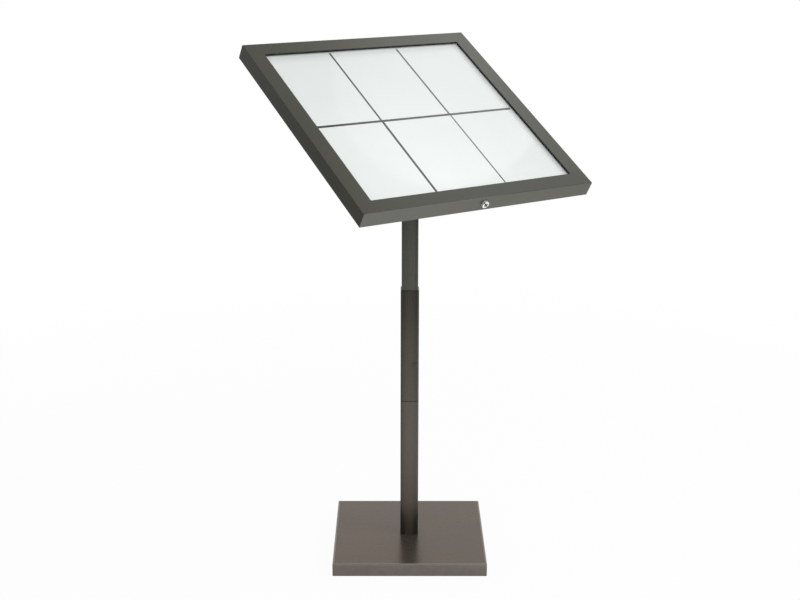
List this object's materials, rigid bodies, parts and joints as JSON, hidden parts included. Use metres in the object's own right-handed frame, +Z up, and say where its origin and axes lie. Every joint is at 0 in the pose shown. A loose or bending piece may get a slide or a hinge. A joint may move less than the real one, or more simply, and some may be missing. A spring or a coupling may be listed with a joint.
{
  "type": "led information display",
  "caption": "Free-standing lit notice case: a tilted, lockable, hinged window over a white light panel, on a telescopic square post with a flat weighted base.",
  "frame": {"origin": "on the floor, on the axis of the post", "axes": "+Z up; +X to the right of a reader who faces the display, along its hinge line; the reader is at -Y. The base and post are turned 34.3 degrees about Z against the display, as pictured."},
  "size_m": [0.71, 0.614, 1.4069],
  "materials": {
    "post_paint": "satin",
    "head_paint": "satin",
    "case_paint": "matte",
    "raw_steel": "matte",
    "zinc_steel": "satin",
    "chrome_lock": "polished",
    "bright_rail": "satin",
    "dark_rail": "matte",
    "black_rubber": "matte",
    "black_plastic": "matte",
    "white_nylon": "matte",
    "clear_pane": "gloss",
    "light_guide": "gloss",
    "lit_white": "matte",
    "sheet_white": "matte",
    "divider_grey": "matte",
    "led_board": "matte"
  },
  "bodies": {
    "stand": {"base_cover": "post_paint", "ballast_plate": "raw_steel", "base_spacer": "raw_steel", "base_mat": "black_rubber", "base_bolt": "zinc_steel", "lower_post": "post_paint", "post_plug": "raw_steel", "post_sleeve": "raw_steel", "sleeve_screw": "zinc_steel", "upper_post": "post_paint", "clamp_bush": "post_paint"},
    "clamp": {"clamp_stud": "zinc_steel", "clamp_knob": "black_plastic"},
    "mast": {"mast_tube": "post_paint", "mast_end_plug": "black_plastic", "mast_cap": "post_paint", "swivel_washer": "white_nylon", "swivel_bolt": "zinc_steel", "swivel_nut": "zinc_steel"},
    "yoke": {"swivel_yoke": "post_paint", "tilt_bolt": "zinc_steel", "tilt_nut": "zinc_steel", "tilt_washers": "white_nylon"},
    "head": {"head_bracket": "post_paint", "bracket_screws": "zinc_steel", "stiffener_plate": "raw_steel", "back_panel": "case_paint", "case_rail_far": "case_paint", "case_side_rails": "case_paint", "case_rail_near": "case_paint", "case_seal": "black_rubber", "support_channels": "bright_rail", "reflector_sheet": "lit_white", "light_guide": "light_guide", "diffuser_panel": "lit_white", "led_rails": "bright_rail", "panel_end_rails": "dark_rail", "led_strips": "led_board", "divider_grid": "divider_grey", "insert_sheets": "sheet_white", "power_inlet": "black_plastic", "led_leads": "black_rubber", "hinge_case_leaves": "zinc_steel", "hinge_pins": "zinc_steel", "lock_keeper": "zinc_steel"},
    "door": {"door_rail_far": "head_paint", "door_rail_near": "head_paint", "door_stile_left": "head_paint", "door_stile_right": "head_paint", "corner_keys": "bright_rail", "door_pane": "clear_pane", "pane_gasket": "black_rubber", "glazing_beads": "dark_rail", "hinge_door_leaves": "zinc_steel", "lock_body": "chrome_lock", "lock_nut": "zinc_steel"},
    "lock": {"lock_plug": "chrome_lock", "lock_cam": "zinc_steel", "cam_screw": "zinc_steel"}
  },
  "joints": [
    {"name": "clamp_turn", "type": "hinge", "parent": "stand", "child": "clamp", "pos_m": [0.01409, 0.02065, 0.735], "axis": [0.5635, 0.8261, 0], "range_deg": [0, 360]},
    {"name": "height_slide", "type": "slide", "parent": "stand", "child": "mast", "axis": [0, 0, 1], "range_m": [-0.025, 0.075]},
    {"name": "head_swivel", "type": "hinge", "parent": "mast", "child": "yoke", "pos_m": [0, 0, 1.1421], "axis": [0, 0, 1], "continuous": true},
    {"name": "head_tilt", "type": "hinge", "parent": "yoke", "child": "head", "pos_m": [0, 0, 1.1781], "axis": [1, 0, 0], "range_deg": [-31, 44]},
    {"name": "door_hinge", "type": "hinge", "parent": "head", "child": "door", "pos_m": [0, 0.2758, 1.36855], "axis": [-1, 0, 0], "range_deg": [0, 100]},
    {"name": "lock_turn", "type": "hinge", "parent": "door", "child": "lock", "pos_m": [0.0075, -0.3123, 1.04353], "axis": [0, -0.8572, -0.515], "range_deg": [0, 90]}
  ]
}
